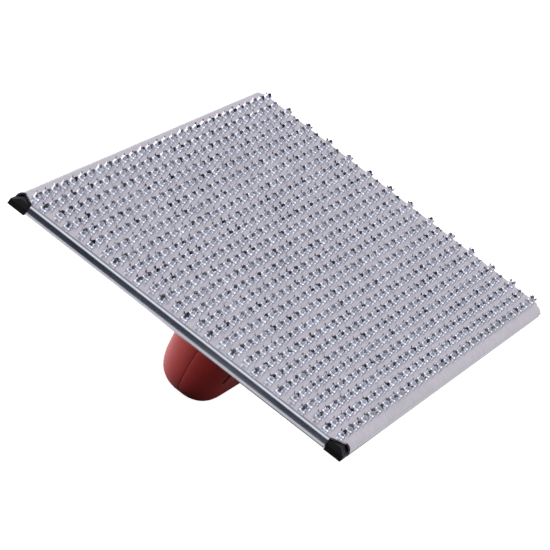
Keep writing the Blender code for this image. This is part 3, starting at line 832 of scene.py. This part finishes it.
def add_cross(bm, top, y, z):
    """A tapered plus-shaped solid, which sinks a cross recess into a screw's head."""
    rings = []
    for height, arm, half in RECESS_ENDS:
        ring = []
        for quarter in range(4):
            spin = Matrix.Rotation(quarter * math.pi / 2 + math.pi / 4, 2)
            for corner in ((half, -half), (arm, -half), (arm, half)):
                spot = spin @ Vector(corner)
                ring.append(bm.verts.new((top + height, y + spot.x, z + spot.y)))
        rings.append(ring)
    bridge(bm, rings)
    bm.faces.new(rings[0][::-1])
    bm.faces.new(rings[1])


def build_shell_screw(number, material):
    """A pan-head screw with a cross recess, standing where the frame has its plain one."""
    node = f"shell_screw_{number}"
    low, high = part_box(node)
    y, z = (low.y + high.y) / 2, (low.z + high.z) / 2
    head = (high.y - low.y) / 2
    seat = high.x - CROSS_SCREW_HEAD_HEIGHT
    profile = [(CROSS_SCREW_SHANK * share, low.x + height) for share, height in CROSS_SCREW_TIP]
    profile.append((CROSS_SCREW_SHANK, seat))
    profile += [(head * share, seat + height) for share, height in PAN_HEAD]
    bm = bmesh.new()
    add_lathe(bm, profile, (0.0, y, z), "X")
    bmesh.ops.recalc_face_normals(bm, faces=bm.faces)
    screw = add_piece(f"{node}_cross", bm, material)
    bm = bmesh.new()
    add_cross(bm, high.x, y, z)
    cut(screw, bm)
    screw.data.shade_smooth()
    screw.data.set_sharp_from_angle(angle=math.radians(CROSS_SCREW_SHARP_ANGLE))
    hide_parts(node)


# ---------------------------------------------------------------- floor, light and camera

def floor_glow(nodes):
    """Strength and colour of the light that the floor throws back, place by place."""
    spot = nodes.add("ShaderNodeTexCoord").outputs["Object"]
    axes = nodes.add("ShaderNodeSeparateXYZ", {"Vector": spot}).outputs
    past_front = nodes.ramp(axes["Y"], *FRONT_EDGE)
    left = nodes.ramp(axes["X"], *GLOW_LEFT)
    right = nodes.ramp(axes["X"], *GLOW_RIGHT)
    behind = nodes.ramp(axes["Y"], *GLOW_BEHIND)
    around = nodes.math("MAXIMUM", nodes.math("MAXIMUM", left, right), behind)
    front = nodes.ramp(axes["Y"], *GLOW_FRONT)
    before_front = nodes.math("SUBTRACT", 1.0, past_front)
    strength = nodes.math("ADD", nodes.math("MULTIPLY", before_front, front),
                          nodes.math("MULTIPLY", past_front, around))
    return strength, nodes.blend(nodes.ramp(axes["Y"], *TINT_EDGE), *TINTS)


def floor_material():
    """Matt and near white to the camera, and a shaped glow to every other ray."""
    material = bpy.data.materials.new("pale_floor")
    material.use_nodes = True
    tree = material.node_tree
    tree.nodes.clear()
    nodes = Nodes(tree)
    strength, tint = floor_glow(nodes)
    thrown = nodes.add("ShaderNodeEmission", {"Color": tint, "Strength": strength})
    seen = nodes.add("ShaderNodeEmission", {"Color": (1, 1, 1, 1), "Strength": FLOOR_SEEN})
    matt = nodes.add("ShaderNodeBsdfDiffuse", {"Color": FLOOR_MATT})
    shown = nodes.add("ShaderNodeAddShader", {0: seen.outputs[0], 1: matt.outputs[0]})
    ray = nodes.add("ShaderNodeLightPath").outputs["Is Camera Ray"]
    mixed = nodes.add("ShaderNodeMixShader", {0: ray, 1: thrown.outputs[0], 2: shown.outputs[0]})
    nodes.add("ShaderNodeOutputMaterial", {"Surface": mixed.outputs[0]})
    return material


def build_floor():
    """A pale floor: near white to the eye, with a soft falloff in what it throws back."""
    bm = bmesh.new()
    bmesh.ops.create_grid(bm, x_segments=1, y_segments=1, size=FLOOR_SIZE)
    mesh = bpy.data.meshes.new("floor")
    bm.to_mesh(mesh)
    bm.free()
    mesh.materials.append(floor_material())
    floor = bpy.data.objects.new("floor", mesh)
    bpy.context.scene.collection.objects.link(floor)


def sky_patch(nodes, way, towards, inner, outer, strength):
    """A round soft-edged patch: its strength within the inner angle, none past the outer."""
    axis = tuple(Vector(towards).normalized())
    close = nodes.add("ShaderNodeVectorMath", {0: way, 1: axis}, operation="DOT_PRODUCT")
    return nodes.ramp(close.outputs["Value"], math.cos(math.radians(outer)),
                      math.cos(math.radians(inner)), 0.0, strength)


def build_world():
    """Soft studio light: a few broad panels round a dim room, and plain white behind the part."""
    world = bpy.data.worlds.new("studio")
    bpy.context.scene.world = world
    world.use_nodes = True
    tree = world.node_tree
    tree.nodes.clear()
    nodes = Nodes(tree)
    way = nodes.add("ShaderNodeTexCoord").outputs["Generated"]
    total = ROOM_LIGHT
    for patch in DIM_PATCHES:
        left = nodes.math("SUBTRACT", 1.0, sky_patch(nodes, way, *patch))
        total = nodes.math("MULTIPLY", total, left)
    for patch in PANELS:
        total = nodes.math("ADD", sky_patch(nodes, way, *patch), total)
    room = nodes.add("ShaderNodeBackground", {"Color": ROOM_COLOUR, "Strength": total})
    far = nodes.add("ShaderNodeBackground", {"Color": FAR_COLOUR,
                                             "Strength": sky_patch(nodes, way, *FAR_PANEL)})
    lit = nodes.add("ShaderNodeAddShader", {0: room.outputs[0], 1: far.outputs[0]})
    white = nodes.add("ShaderNodeBackground", {"Color": (1, 1, 1, 1), "Strength": 1.0})
    ray = nodes.add("ShaderNodeLightPath").outputs["Is Camera Ray"]
    mixed = nodes.add("ShaderNodeMixShader", {0: ray, 1: lit.outputs[0], 2: white.outputs[0]})
    nodes.add("ShaderNodeOutputWorld", {"Surface": mixed.outputs[0]})


def build_camera():
    """A long lens that looks at CAMERA_AIM, turned about its own line of sight."""
    azimuth = math.radians(CAMERA_AZIMUTH)
    elevation = math.radians(CAMERA_ELEVATION)
    roll = math.radians(CAMERA_ROLL)
    forward = Vector((-math.sin(azimuth) * math.cos(elevation),
                      math.cos(azimuth) * math.cos(elevation), -math.sin(elevation)))
    level = Vector((math.cos(azimuth), math.sin(azimuth), 0.0))
    upright = level.cross(forward)
    right = level * math.cos(roll) + upright * math.sin(roll)
    up = upright * math.cos(roll) - level * math.sin(roll)
    data = bpy.data.cameras.new("camera")
    data.lens = CAMERA_LENS
    data.sensor_width = SENSOR_WIDTH
    data.clip_start = CLIP_NEAR
    data.clip_end = CLIP_FAR
    camera = bpy.data.objects.new("camera", data)
    bpy.context.scene.collection.objects.link(camera)
    turn = Matrix((right, up, -forward)).transposed().to_4x4()
    camera.matrix_world = Matrix.Translation(CAMERA_AIM - forward * CAMERA_DISTANCE) @ turn
    bpy.context.scene.camera = camera


def dress_frame_nodes(zinc):
    """Give the CAD fasteners that stay in view their own finish."""
    for name, node in NODES.items():
        if name.startswith("foot_"):
            node.data.materials.clear()
            node.data.materials.append(zinc)


def main():
    scene = bpy.context.scene
    scene.view_settings.view_transform = "Standard"
    scene.view_settings.look = "None"
    sheet_metal = galvanised_material()
    black = board_material()
    red = handle_material()
    zinc = fastener_material("zinc_fastener", ZINC_COLOURS)
    dark = fastener_material("black_screw", DARK_SCREW_COLOURS)
    build_sheet(sheet_metal)
    rounded_copy("backing_board_moulded", "backing_board", BOARD_EDGE, black)
    for name, node, side in (("handle_left", "handle_left_shell", -1),
                             ("handle_right", "handle_right_shell", 1)):
        finish_shell(build_shell(name, node, side, red), side)
    for number in CROSS_SCREW_NUMBERS:
        build_shell_screw(number, dark)
    dress_frame_nodes(zinc)
    build_floor()
    build_world()
    build_camera()


main()
bpy.context.view_layer.update()
